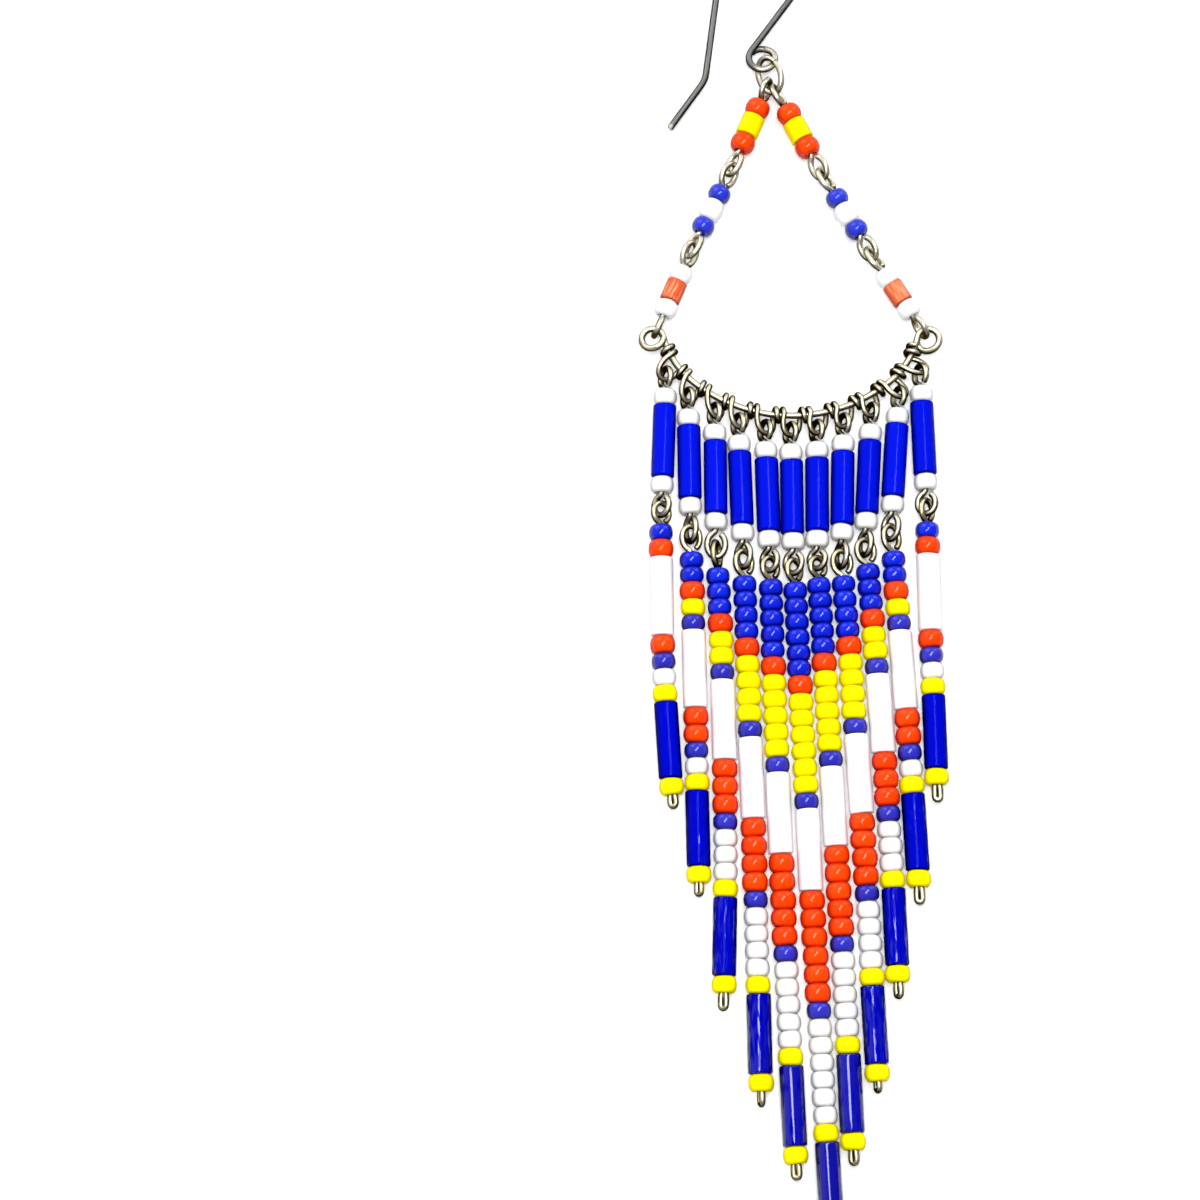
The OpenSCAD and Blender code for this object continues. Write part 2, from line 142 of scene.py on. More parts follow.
def wire(points, width, ends=(0.7, 0.7)):
    """A round wire along a path. Its two ends are nipped off, and rounded as much as ends says."""
    path = smooth(points)
    # no wire dips below the table
    path[:, 2] = np.maximum(path[:, 2], width / 2)
    heading = np.roll(path, -1, axis=0) - np.roll(path, 1, axis=0)
    heading[0] = path[1] - path[0]
    heading[-1] = path[-1] - path[-2]
    heading /= np.linalg.norm(heading, axis=1)[:, None]
    # any first side will do, as long as it is not along the wire
    side = np.cross(heading[0], UP + [0.01, 0.02, 0])
    sides = []
    for ahead in heading:
        side = side - side.dot(ahead) * ahead
        side = side / np.linalg.norm(side)
        sides.append(side)
    sides = np.array(sides)
    other = np.cross(heading, sides)
    run = np.concatenate([[0], np.cumsum(np.linalg.norm(np.diff(path, axis=0), axis=1))])
    phase = chance.uniform(0, 6.28, 3)
    swell = 1 + np.sin(run * SWELLS[0] + phase[0]) * np.sin(run * SWELLS[1] + phase[1])
    radius = width / 2 * (1 - UNEVEN * swell)
    first = [(path[0] - heading[0] * width * ends[0] * out, size) for out, size in TIP_RINGS]
    last = [(path[-1] + heading[-1] * width * ends[1] * out, size) for out, size in TIP_RINGS[::-1]]
    path = np.vstack([[place for place, _ in first], path[1:-1], [place for place, _ in last]])
    radius = np.concatenate([
        radius[0] * np.array([size for _, size in first]),
        radius[1:-1],
        radius[-1] * np.array([size for _, size in last])])
    pad = len(TIP_RINGS) - 1
    sides = np.vstack([[sides[0]] * pad, sides, [sides[-1]] * pad])
    other = np.vstack([[other[0]] * pad, other, [other[-1]] * pad])
    run = np.concatenate([[run[0]] * pad, run, [run[-1]] * pad])
    angle = np.linspace(0, 2 * math.pi, WIRE_SIDES, endpoint=False)
    ring = np.cos(angle)[None, :, None] * sides[:, None] + np.sin(angle)[None, :, None] * other[:, None]
    places = path[:, None] + radius[:, None, None] * ring
    rings = len(path)
    faces = []
    for i in range(rings - 1):
        for k in range(WIRE_SIDES):
            a, b, n = i * WIRE_SIDES, (i + 1) * WIRE_SIDES, (k + 1) % WIRE_SIDES
            faces.append((a + k, a + n, b + n, b + k))
    faces.append(tuple(range(WIRE_SIDES))[::-1])
    faces.append(tuple((rings - 1) * WIRE_SIDES + k for k in range(WIRE_SIDES)))
    # where a point lies on the drawn surface: round the wire, and more slowly along it
    drawn = np.empty_like(places)
    drawn[..., 0] = np.cos(angle)[None]
    drawn[..., 1] = np.sin(angle)[None]
    drawn[..., 2] = run[:, None] * DRAWN_OUT + chance.uniform(0, 50)
    return {
        "places": places.reshape(-1, 3),
        "faces": faces,
        "finish": 0,
        "drawn": drawn.reshape(-1, 3),
        # how far the surface faces up or down: the finishes paint highlight and shade by it
        "proud": np.abs(ring[..., 2]).ravel()}


def piece(name, node, parts, finishes):
    """Makes one piece of the earring from its parts, in place of the frame's node."""
    places = np.vstack([part["places"] for part in parts]) * MM
    faces, kinds, first = [], [], 0
    for part in parts:
        faces += [tuple(first + k for k in face) for face in part["faces"]]
        kinds += [part["finish"]] * len(part["faces"])
        first += len(part["places"])
    mesh = bpy.data.meshes.new(name)
    mesh.from_pydata(places.tolist(), [], faces)
    for finish in finishes:
        mesh.materials.append(finish)
    mesh.polygons.foreach_set("material_index", kinds)
    mesh.polygons.foreach_set("use_smooth", [True] * len(faces))
    for key in parts[0]:
        if key in ("places", "faces", "finish"):
            continue
        values = np.concatenate([part[key] for part in parts])
        kind, field = ("FLOAT_VECTOR", "vector") if values.ndim == 2 else ("FLOAT", "value")
        mesh.attributes.new(key, kind, "POINT").data.foreach_set(field, values.ravel())
    mesh.update()
    made = bpy.data.objects.new(name, mesh)
    bpy.context.scene.collection.objects.link(made)
    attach(made, "root")
    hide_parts(node)


class Shade:
    """One output of a shader node. Arithmetic on it adds Math nodes, and node() adds any other node."""

    def __init__(self, tree, socket=None):
        self.tree = tree
        self.socket = socket

    def node(self, kind, settings, sockets, output=0):
        """Adds a node, with its settings first, and gives back one of its outputs."""
        made = self.tree.nodes.new(kind)
        for name, value in settings.items():
            if name == "stops":
                while len(made.color_ramp.elements) < len(value):
                    made.color_ramp.elements.new(0.5)
                for stop, (place, colour) in zip(made.color_ramp.elements, value):
                    stop.position = place
                    stop.color = colour
            else:
                setattr(made, name, value)
        for name, value in sockets.items():
            if isinstance(value, Shade):
                self.tree.links.new(value.socket, made.inputs[name])
            else:
                made.inputs[name].default_value = value
        return Shade(self.tree, made.outputs[output] if made.outputs else None)

    def math(self, operation, first, second):
        return self.node("ShaderNodeMath", {"operation": operation}, {0: first, 1: second})

    def __add__(self, other):
        return self.math("ADD", self, other)

    def __mul__(self, other):
        return self.math("MULTIPLY", self, other)

    def __sub__(self, other):
        return self.math("SUBTRACT", self, other)

    def __rsub__(self, other):
        return self.math("SUBTRACT", other, self)

    __radd__ = __add__
    __rmul__ = __mul__

    def held(self, low=0.0, high=1.0):
        """The same value, kept between two limits."""
        return self.math("MAXIMUM", self.math("MINIMUM", self, high), low)

    def mix(self, mask, first, second):
        """A colour that goes from the first to the second as the mask goes from 0 to 1."""
        # a Mix node's colours are its inputs 6 and 7 and its output 2
        return self.node("ShaderNodeMix", {"data_type": "RGBA"}, {0: mask, 6: first, 7: second}, 2)

    def attribute(self, name, output):
        """What the mesh says about its points under this name."""
        return self.node("ShaderNodeAttribute", {"attribute_name": name}, {}, output)

    def noise(self, place, scale, detail=2.0, rough=0.5):
        return self.node(
            "ShaderNodeTexNoise", {},
            {"Vector": place, "Scale": scale, "Detail": detail, "Roughness": rough})

    def steep(self, low, high):
        """The value as a mask: 0 below low, 1 above high."""
        return self.node(
            "ShaderNodeMapRange", {"interpolation_type": "SMOOTHSTEP"},
            {"Value": self, "From Min": low, "From Max": high})

    def bump(self, height, depth, strength):
        return self.node(
            "ShaderNodeBump", {}, {"Height": height, "Distance": depth, "Strength": strength})


def new_finish(name):
    """A new material, and a first Shade to build it with."""
    material = bpy.data.materials.new(name)
    material.use_nodes = True
    material.node_tree.nodes.clear()
    return material, Shade(material.node_tree)


def coated(shade, **sockets):
    """Ends a finish: the surface shader with the given sockets."""
    surface = shade.node("ShaderNodeBsdfPrincipled", {}, sockets)
    shade.node("ShaderNodeOutputMaterial", {}, {"Surface": surface})


# The relief of draw marks and of glass skins, in metres
SKIN_DEPTH = 0.00001


def drawn_metal(name, bright, dark, rough, sheen_level, edge=(0.4, 0.32, 0.2, 1), sheen_and_bare_colour=(1, 1, 1, 1)):
    """A drawn wire with random tarnish, a painted highlight where it faces up past a level, and painted
    shade down its sides.
    """
    material, shade = new_finish(name)
    drawn = shade.attribute("drawn", "Vector")
    proud = shade.attribute("proud", "Fac")
    lines = shade.noise(drawn, 5.0, 3.0, 0.6)
    patches = shade.noise(drawn, 1.1)
    specks = shade.noise(drawn, 9.0)
    # painted highlight on the top of the wire and painted shade down its sides, broken by random tarnish
    # patches
    sheen_and_tarnish = (proud + (patches - 0.5) * 0.8 + (lines - 0.5) * 0.1).steep(sheen_level - 0.2, sheen_level + 0.2)
    grime = specks.steep(0.64, 0.76)
    colour = shade.mix(sheen_and_tarnish * (1 - 0.4 * grime), dark, bright)
    # where a piece's bare attribute is set, a pale colour shows on its up-facing side: a painted highlight
    # on the hook's loop, bare metal at its nipped tip
    bare = shade.attribute("bare", "Fac") * (proud + (patches - 0.5) * 0.3).steep(0.45, 0.8)
    colour = shade.mix(bare, colour, sheen_and_bare_colour)
    coated(shade, **{
        "Base Color": colour,
        "Metallic": 1.0,
        "Specular Tint": edge,
        "Roughness": (rough + 0.2 * (1 - sheen_and_tarnish) + 0.06 * lines).held(),
        "Normal": shade.bump(lines, SKIN_DEPTH, 0.1)})
    return material


bar_metal = drawn_metal(
    "bar_metal", (0.98, 0.91, 0.64, 1), (0.045, 0.03, 0.01, 1), rough=0.32, sheen_level=0.7)
bar_path = (
    bar_loop_points(-1)[::-1]
    + [bar_point(s) for s in np.linspace(-BAR_HALF, BAR_HALF, BAR_POINTS)]
    + bar_loop_points(1))
piece("bar", "bar_wire", [wire(bar_path, BAR_WIRE)], [bar_metal])

# Winding: one length of thinner wire, wound by hand round the bar from end to end. Twelve groups of
# one and a half turns hold it, and between them it drops in eleven loops that the strands hang in.
WINDING_WIRE = 0.47
STRANDS = 11
GROUP_PITCH = 2.25
TURN_PITCH = 0.6
TURNS = 1.5
TURN_POINTS = 25
GROUP_REACH = TURNS / 2 * TURN_PITCH
LOOP_DEPTH = 1.75
LOOP_BULGE = 0.4
LOOP_POINTS = 13
WINDING_GAP = 0.01
WINDING_R = (BAR_WIRE + WINDING_WIRE) / 2 + WINDING_GAP
# How far each hanging loop is pulled over, in degrees from straight down
LOOP_LEANS = (-47, -22, -1, -3, 0, -5, -6, -3, 11, 43, 66)


def group_at(k):
    """How far along the bar the middle of a group of turns is."""
    return (k - STRANDS / 2) * GROUP_PITCH


def turn_points(k):
    """Round the bar in one group of turns."""
    points = []
    for turn in np.linspace(0, TURNS, TURN_POINTS):
        s = group_at(k) + turn * TURN_PITCH - GROUP_REACH
        a = math.radians(-90 - 360 * turn)
        points.append(bar_point(s) + WINDING_R * (math.cos(a) * along(slope(s)) + math.sin(a) * UP))
    return points


def hanging_loop_points(k):
    """From the last turn of a group down round a hanging loop and up to the first turn of the next."""
    s = (group_at(k) + group_at(k + 1)) / 2
    half = GROUP_PITCH / 2 - GROUP_REACH
    return [
        bar_point(s) - half * math.cos(a) * (1 + LOOP_BULGE * math.sin(a)) * across(slope(s))
        + LOOP_DEPTH * math.sin(a) * along(LOOP_LEANS[k]) + WINDING_R * math.cos(a) * UP
        for a in np.linspace(0, math.pi, LOOP_POINTS)[1:-1]]


winding_metal = drawn_metal(
    "winding_metal", (0.98, 0.91, 0.64, 1), (0.03, 0.019, 0.006, 1), rough=0.32, sheen_level=0.76)
winding_path = []
for k in range(STRANDS + 1):
    winding_path += turn_points(k)
    if k < STRANDS:
        winding_path += hanging_loop_points(k)
piece("winding", "bar_winding", [wire(winding_path, WINDING_WIRE)], [winding_metal])

# Upper links: a white seed bead, a royal blue bugle and a white seed bead on a short length of wire,
# which is turned into an eye above and below them. The beads are pressed and drawn opaque glass.
LINK_WIRE = 0.52
# How far round eyes reach into each other, and the wire between an eye and a bead
EYE_HOLD = 0.54
EYE_REST = 0.2
NECK = 0.06
# Half the width of an eye that hangs slack in another, and how much shorter it is than its gap
EYE_HALF = 0.75
EYE_ROOM = 0.86
LONGEST_EYE = 2.3
# Where an eye's curve starts and ends, in degrees round it, and how far it stays off the bead
EYE_TURNS = (36, 330)
EYE_POINTS = 21
EYE_OFF = 0.22
# The bend from an eye into the bead, as places ahead of the bead's mouth and aside from it
NECK_BEND = ((-0.12, -0.12), (0.1, -0.04), (0.4, 0.0))
# The round eye that hangs in the winding: its radius, its depth below the bar, and its roll
HANG_R = 0.8
EYE_DROP = 1.55
HANG_ROLL = 60
# How far the eye at the foot of each link is turned about it, in degrees
UPPER_ROLLS = (38, 58, 4, 45, 38, 30, 36, 60, 55, 42, 22)
# How each strand lies, from left to right. The first four columns are leans in degrees from straight
# down: of the line from the bar to its highest eye, of its upper link, and of the lower link at its top
# and at its foot. Then come the radius that the eyes take up and the length of its beads against the
# usual.
SWING, UPPER, TOP, FOOT, EYE, GRADE = range(6)
LIE = (
    (-30.8, -2.1, -1.1, 4.9, 0.70, 1.008),
    (-14.7, 0.7, 1.2, 0.5, 0.83, 0.983),
    (-0.7, 0.1, 2.8, -2.1, 0.84, 1.004),
    (-3.0, 1.5, 1.5, 0.8, 0.78, 1.009),
    (-0.1, 1.1, 1.1, 2.2, 0.71, 1.005),
    (-4.6, 0.4, 2.0, 2.7, 0.72, 1.010),
    (-5.7, -0.8, 2.9, 1.9, 0.67, 0.986),
    (-3.5, -1.9, 3.8, 1.6, 0.78, 0.991),
    (8.0, -3.7, 4.5, 1.4, 0.77, 0.990),
    (27.7, -4.6, 3.9, 2.2, 0.86, 0.998),
    (45.7, 1.1, 0.0, 1.2, 0.72, 0.978))


def rolled(lean, roll):
    """The direction across a link, turned about it by roll degrees from lying flat."""
    return math.cos(math.radians(roll)) * across(lean) + math.sin(math.radians(roll)) * UP


def eye(mouth, heading, side, length, half):
    """An oval eye from its nipped end round to its neck, where the wire goes into the hole of a bead."""
    long = (length - EYE_OFF) / 2
    middle = mouth - (EYE_OFF + long) * heading
    return (
        [middle + long * math.cos(a) * heading + half * math.sin(a) * side
            for a in np.radians(np.linspace(*EYE_TURNS, EYE_POINTS))]
        + [mouth + ahead * heading + aside * side for ahead, aside in NECK_BEND])


def reach(r, bare=NECK):
    """From the centre of a round eye to the first bead."""
    return r + EYE_REST + bare


def slack(gap):
    """How long two eyes are that lie slack in each other in a gap between beads."""
    return min(gap - EYE_ROOM, LONGEST_EYE)


def hang(i):
    """The centre of the round eye that hangs in a loop of the winding."""
    return bar_point((i - (STRANDS - 1) / 2) * GROUP_PITCH) + EYE_DROP * along(LIE[i][SWING])


# Kinds of bead: the width, the pitch on the wire, the radius of a cut tube's edge, and the glass
WIDTH, PITCH, EDGE, GLASS = range(4)
WHITE = (1.99, 1.37, None, "white")
BLUE_BUGLE = (1.99, 6.32, 0.16, "blue_bugle")
# The form of a seed bead: the radius of its flat end against the whole, and how boxy its outline is
BARREL = (0.6, 2.15)
# How far a bead is out of round, as an oval and as a three-sided form
OUT_OF_ROUND = (0.006, 0.004)
# How seed beads and tubes are made: how deep the lip rolls into the hole, how far out of square the
# ends are, how far the bead leans on its wire in degrees, and how far it sits to a side
LIP, SKEW, TILT, SHIFT = range(4)
SEED_MAKE = (0.13, 0.035, 0.8, 0.02)
TUBE_MAKE = (0.03, 0.02, 0.2, 0.008)
LIP_TURNS = (30, 60, 90)
# How far in from its ends a tube's painted end shade reaches
TUBE_RIM = 0.5
BORE_R = 0.4
LEAST_HEIGHT = 0.002
BEAD_SIDES = 32
OUTLINE_POINTS = 19
# Where the points round a tube's edge are, in degrees, and where its body starts, in radii of that edge
CORNER_TURNS = (0, 25, 50, 75, 90)
BODY_START = 2.5
BODY_POINTS = 7


def seed_outline(r, length, form):
    """A pressed seed bead, from lip to lip: the radius and the place on its axis."""
    mouth, boxy = form
    turns = np.radians(np.linspace(-90, 90, OUTLINE_POINTS))
    bulge = r * (mouth + (1 - mouth) * np.abs(np.cos(turns)) ** (2 / boxy))
    place = length / 2 * np.sign(np.sin(turns)) * np.abs(np.sin(turns)) ** (2 / boxy)
    return bulge, place


def tube_outline(r, length, edge):
    """A cut length of glass tube: nearly straight, with an edge that the heat has rounded."""
    turns = np.radians(CORNER_TURNS)
    corner = r - edge + edge * np.sin(turns), edge * (1 - np.cos(turns))
    body = np.linspace(edge * BODY_START, length - edge * BODY_START, BODY_POINTS)
    bulge = np.concatenate([corner[0], np.full(BODY_POINTS, r), corner[0][::-1]])
    place = np.concatenate([corner[1], body, length - corner[1][::-1]]) - length / 2
    return bulge, place


def bead(kind, length, centre, heading, finish, form, wide, tone):
    """One drilled glass bead, no two quite alike, at its place on the wire.

    Wide is its width against its kind's, and tone is how dark its glass is, or None to leave that to chance.
    """
    r = kind[WIDTH] / 2 * wide
    if kind[EDGE]:
        make = TUBE_MAKE
        bulge, place = tube_outline(r, length, kind[EDGE])
        rim_depth = TUBE_RIM
    else:
        make = SEED_MAKE
        bulge, place = seed_outline(r, length, form)
        rim_depth = place.max()
    # the lip rolls over into the drilled hole
    lips = np.radians(LIP_TURNS)
    inner = BORE_R + (bulge[-1] - BORE_R) * (1 - np.sin(lips))
    sunk = place[-1] - make[LIP] * (1 - np.cos(lips))
    bulge = np.concatenate([inner[::-1], bulge, inner])
    place = np.concatenate([-sunk[::-1], place, sunk])
    rings = len(bulge)
    turns = np.linspace(0, 2 * math.pi, BEAD_SIDES, endpoint=False)
    phases = chance.uniform(0, 6.28, 3)
    lumps = (
        1 - OUT_OF_ROUND[0] * (1 + np.cos(2 * turns + phases[0]))
        - OUT_OF_ROUND[1] * (1 + np.cos(3 * turns + phases[1])))
    local = np.empty((rings, BEAD_SIDES, 3))
    local[..., 0] = bulge[:, None] * lumps * np.cos(turns)
    local[..., 1] = bulge[:, None] * lumps * np.sin(turns)
    local[..., 2] = place[:, None]
    # the two ends of a bead are never quite square to its hole
    ends = chance.uniform(-1, 1, 2) * make[SKEW]
    share = (place / place.max())[:, None]
    local[..., 2] += local[..., 0] * (ends[0] + ends[1] * share) * np.abs(share)
    side = np.cross(heading, UP)
    lean = np.radians(chance.normal(0, make[TILT], 2))
    axis = heading + lean[0] * side + lean[1] * UP * 0.5
    axis /= np.linalg.norm(axis)
    side = np.cross(axis, UP)
    side /= np.linalg.norm(side)
    top = np.cross(side, axis)
    shift = side * chance.uniform(-make[SHIFT], make[SHIFT])
    out = local[..., :1] * side + local[..., 1:2] * top
    places = centre + shift + out + local[..., 2:] * axis
    # a bead that is wider than the rest still rests on the table
    places[..., 2] += max(LEAST_HEIGHT - places[..., 2].min(), 0)
    faces = []
    for i in range(rings):
        for k in range(BEAD_SIDES):
            a, b, n = i * BEAD_SIDES, (i + 1) % rings * BEAD_SIDES, (k + 1) % BEAD_SIDES
            faces.append((a + k, a + n, b + n, b + k))
    count = rings * BEAD_SIDES
    grain = local.reshape(-1, 3) + chance.uniform(0, 40, 3)
    # how far the surface faces up or down: the glass finishes paint shade down a bead's sides by it
    proud = np.abs(out[..., 2]) / np.linalg.norm(out, axis=2)
    rim = 1 - (place.max() - np.abs(place)) / rim_depth
    return {
        "places": places.reshape(-1, 3),
        "faces": faces,
        "finish": finish,
        "grain": grain,
        "rim": np.repeat(np.clip(rim, 0, 1), BEAD_SIDES),
        "proud": proud.ravel(),
        "tone": np.full(count, chance.uniform(0, 1) if tone is None else tone)}


# How much beads of a kind differ in length and in width
LENGTHS_DIFFER = 0.04
WIDTHS_DIFFER = 0.02
# A bead longer than this is a bugle, and is so much shorter than its stretch of wire
BUGLE_LEAST = 3
BUGLE_PLAY = 0.015


def bead_row(kind, count, start, lean, glasses, grade=1.0, form=BARREL, tone=None):
    """Like beads side by side on a straight stretch of wire, of the piece's glass for their kind.

    Grade is their length against the usual.
    """
    sizes = 1 + chance.uniform(-LENGTHS_DIFFER, LENGTHS_DIFFER, count)
    sizes *= kind[PITCH] * grade * count / sizes.sum()
    spots = np.cumsum(sizes) - sizes / 2
    finish = list(glasses).index(kind[GLASS])
    return [
        bead(kind, size - (BUGLE_PLAY if size > BUGLE_LEAST else 0), start + spot * along(lean),
            along(lean), finish, form, 1 - chance.uniform(0, WIDTHS_DIFFER), tone)
        for size, spot in zip(sizes, spots)]


def pressed_glass(name, colour, shade_colour, painted_shade_colour, gloss=0.35, haze=0.3, veins=None, ragged=0.0):
    """Opaque glass: a soft sheen in the glass itself, under a clear fire-polished skin.

    Colours: of the lightest and darkest beads, of painted shade at ends and sides, of veins drawn along a
    tube.
    Gloss is the share of the skin, haze that of the sheen, and ragged how patchy the skin is.
    """
    material, shade = new_finish(name)
    grain = shade.attribute("grain", "Vector")
    tone = shade.attribute("tone", "Fac")
    proud = shade.attribute("proud", "Fac")
    cloud = shade.noise(grain, 1.1, 2.0)
    pits = shade.noise(grain, 14.0, 3.0, 0.6)
    waves = shade.noise(grain, 3.2, 1.0)
    drawn_out = shade.node(
        "ShaderNodeVectorMath", {"operation": "MULTIPLY"}, {0: grain, 1: (1.0, 1.0, 0.15)})
    ripples = shade.noise(drawn_out, 5.0, 1.0)
    # the colour drifts at random from bead to bead; painted shade darkens it down the sides and in the
    # creases at the ends
    base = shade.mix((tone * 0.8 + cloud * 0.4 - 0.1).held(), colour, shade_colour)
    if veins:
        base = shade.mix(ripples.steep(0.42, 0.62), base, veins)
    # painted shade down the sides of each bead
    base = shade.mix((1 - proud).steep(0.1, 0.68) * 0.9, base, painted_shade_colour)
    # painted shade in the creases at a bead's ends, where it meets its neighbours
    base = shade.mix(shade.attribute("rim", "Fac").steep(0.6, 1.0) * 0.7, base, painted_shade_colour)
    # the skin is thin in places, and patchy along the darkest tubes
    skin = gloss * (1 - 0.3 * pits.steep(0.6, 0.8))
    if ragged:
        skin = skin * (1 - ragged + ragged * (ripples + tone * 0.5 - 0.3).steep(0.42, 0.56))
    coated(shade, **{
        "Base Color": base,
        "Roughness": (0.36 + 0.14 * pits).held(),
        "IOR": 1.5,
        "Specular IOR Level": haze,
        "Coat Weight": skin,
        "Coat IOR": 1.6,
        "Coat Roughness": 0.05,
        "Normal": shade.bump(waves + pits * 0.2, SKIN_DEPTH, 0.6)})
    return material


link_metal = drawn_metal(
    "link_metal", (0.98, 0.92, 0.66, 1), (0.024, 0.016, 0.005, 1), rough=0.3, sheen_level=0.78)
white_glass = pressed_glass(
    "white_seed_glass", (0.94, 0.94, 0.94, 1), (0.9, 0.9, 0.9, 1), (0.44, 0.42, 0.4, 1))
royal_bugle_glass = pressed_glass(
    "royal_bugle_glass", (0.0, 0.006, 0.6, 1), (0.0, 0.004, 0.52, 1), (0.0, 0.0, 0.17, 1),
    gloss=0.07, haze=0.01)
UPPER_GLASS = {"white": white_glass, "blue_bugle": royal_bugle_glass}
UPPER_ROW = (WHITE, BLUE_BUGLE, WHITE)
UPPER_LEN = sum(kind[PITCH] for kind in UPPER_ROW)


def eyes_apart(r1, r2, hold=EYE_HOLD):
    """The distance between the centres of two round eyes that hang in each other."""
    return r1 + r2 - hold


def upper_start(i):
    """Where the wire goes into the highest bead."""
    return hang(i) + reach(HANG_R) * along(LIE[i][UPPER])


def upper_foot(i):
    """The centre of the eye below the lowest bead."""
    return upper_start(i) + (UPPER_LEN + reach(LIE[i][EYE])) * along(LIE[i][UPPER])


def upper_mouth(i):
    """Where the wire comes out of the lowest bead."""
    return upper_start(i) + UPPER_LEN * along(LIE[i][UPPER])


def strand_top(i):
    """The centre of the eye at the top of a strand."""
    lean = (LIE[i][UPPER] + LIE[i][TOP]) / 2
    return upper_foot(i) + eyes_apart(LIE[i][EYE], LIE[i][EYE]) * along(lean)


def strand_mouth(i):
    """Where a strand's wire goes into its highest bead."""
    return strand_top(i) + reach(LIE[i][EYE]) * along(LIE[i][TOP])


def strand_eye_len(i):
    """How long the two eyes between an upper link and its strand are."""
    return slack(np.linalg.norm(strand_mouth(i) - upper_mouth(i)))


for i in range(STRANDS):
    lean = LIE[i][UPPER]
    upper_path = (
        eye(upper_start(i), along(lean), rolled(lean, HANG_ROLL), HANG_R + reach(HANG_R), HANG_R)
        + eye(upper_mouth(i), -along(lean), rolled(lean, UPPER_ROLLS[i]), strand_eye_len(i), EYE_HALF)[::-1])
    piece(
        f"upper_link_{i + 1}", f"upper_wire_{i + 1}",
        [wire(upper_path, LINK_WIRE)], [link_metal])
    beads, start = [], upper_start(i)
    for kind in UPPER_ROW:
        beads += bead_row(kind, 1, start, lean, UPPER_GLASS)
        start = start + kind[PITCH] * along(lean)
    piece(f"upper_glass_{i + 1}", f"upper_beads_{i + 1}", beads, UPPER_GLASS.values())

# Lower strands: each is one wire, with an oval eye at the top and a narrow loop bent back on itself at
# the foot. The colours step down from strand to strand, and so draw the points of the pattern.
STRAND_WIRE = 0.49
# How far the eye of a strand is turned against the one that it hangs in, in degrees
EYES_CROSS = 70
FOOT_HALF = 0.225
FOOT_POINTS = 9
# The two legs of a foot loop, as places below the last bead and aside from its hole
FOOT_DOWN = ((-0.9, 0.0), (-0.2, -0.15), (0.12, -0.85 * FOOT_HALF), (0.4, -FOOT_HALF))
FOOT_UP = ((0.4, FOOT_HALF), (0.12, 0.85 * FOOT_HALF), (-0.2, 0.17))
# How long the loop at each foot is, and how far it is turned about the strand
FEET = (
    (0.9, 20), (0.9, 40), (1.2, 25), (1.0, 70), (1.05, 15), (1.0, 12),
    (1.0, 30), (0.7, 65), (1.1, 45), (1.2, 15), (1.2, 0))
# How many blue, yellow and white beads the groups of a strand hold, from the outermost strand inwards
BLUES = (1, 2, 3, 4, 5, 6)
YELLOWS = (0, 1, 2, 4, 5, 6)
WHITES = (1, 1, 3, 4, 5, 6)

BLUE = (2.03, 1.31, None, "blue")
VIOLET = (2.03, 1.31, None, "violet")
ORANGE = (2.15, 1.48, None, "orange")
YELLOW = (2.08, 1.36, None, "yellow")
WHITE_BUGLE = (2.03, 6.62, 0.16, "white_bugle")

STRAND_GLASS = {
    "blue": pressed_glass(
        "seed_blue_glass", (0.002, 0.017, 0.63, 1), (0.001, 0.01, 0.53, 1), (0.0, 0.0, 0.18, 1),
        gloss=0.6, haze=0.03),
    "violet": pressed_glass(
        "violet_blue_glass", (0.028, 0.028, 0.46, 1), (0.018, 0.018, 0.37, 1), (0.001, 0.001, 0.07, 1),
        gloss=0.6, haze=0.03),
    "orange": pressed_glass(
        "seed_orange_glass", (0.95, 0.058, 0.0, 1), (0.88, 0.04, 0.0, 1), (0.5, 0.01, 0.0, 1),
        gloss=0.36, haze=0.01),
    "yellow": pressed_glass(
        "seed_yellow_glass", (0.94, 0.88, 0.0, 1), (0.92, 0.83, 0.0, 1), (0.72, 0.56, 0.0, 1),
        gloss=0.05, haze=0.02),
    "white": white_glass,
    "white_bugle": pressed_glass(
        "white_bugle_glass", (0.96, 0.95, 0.95, 1), (0.94, 0.93, 0.935, 1), (0.8, 0.7, 0.73, 1),
        gloss=0.2, haze=0.1),
    "blue_bugle": pressed_glass(
        "navy_bugle_glass", (0.0, 0.002, 0.47, 1), (0.0, 0.0, 0.24, 1), (0.0, 0.0, 0.03, 1),
        gloss=0.9, haze=0.0, ragged=0.95)}
strand_metal = drawn_metal(
    "strand_metal", (0.96, 0.86, 0.52, 1), (0.026, 0.015, 0.004, 1), rough=0.28, sheen_level=0.76)


def bead_chart(i):
    """The beads of a strand from the top down: the kind, and how many."""
    rank = min(i, STRANDS - 1 - i)
    chart = (
        (BLUE, BLUES[rank]),
        (ORANGE, 1),
        (YELLOW, YELLOWS[rank]),
        (VIOLET, min(YELLOWS[rank], 1)),
        (WHITE_BUGLE, 1),
        (ORANGE, BLUES[rank]),
        (VIOLET, 1),
        (WHITE, WHITES[rank]),
        (YELLOW, 1),
        (BLUE_BUGLE, 1),
        (YELLOW, 1))
    return [(kind, count) for kind, count in chart if count]


def strand_lean(i, s, length):
    """How a strand leans at a distance s down it: it bends evenly from its top to its foot."""
    return LIE[i][TOP] + (LIE[i][FOOT] - LIE[i][TOP]) * s / length


def strand_point(i, s, length):
    """The place on a strand at a distance s below the centre of its eye."""
    return strand_top(i) + s * along((LIE[i][TOP] + strand_lean(i, s, length)) / 2)


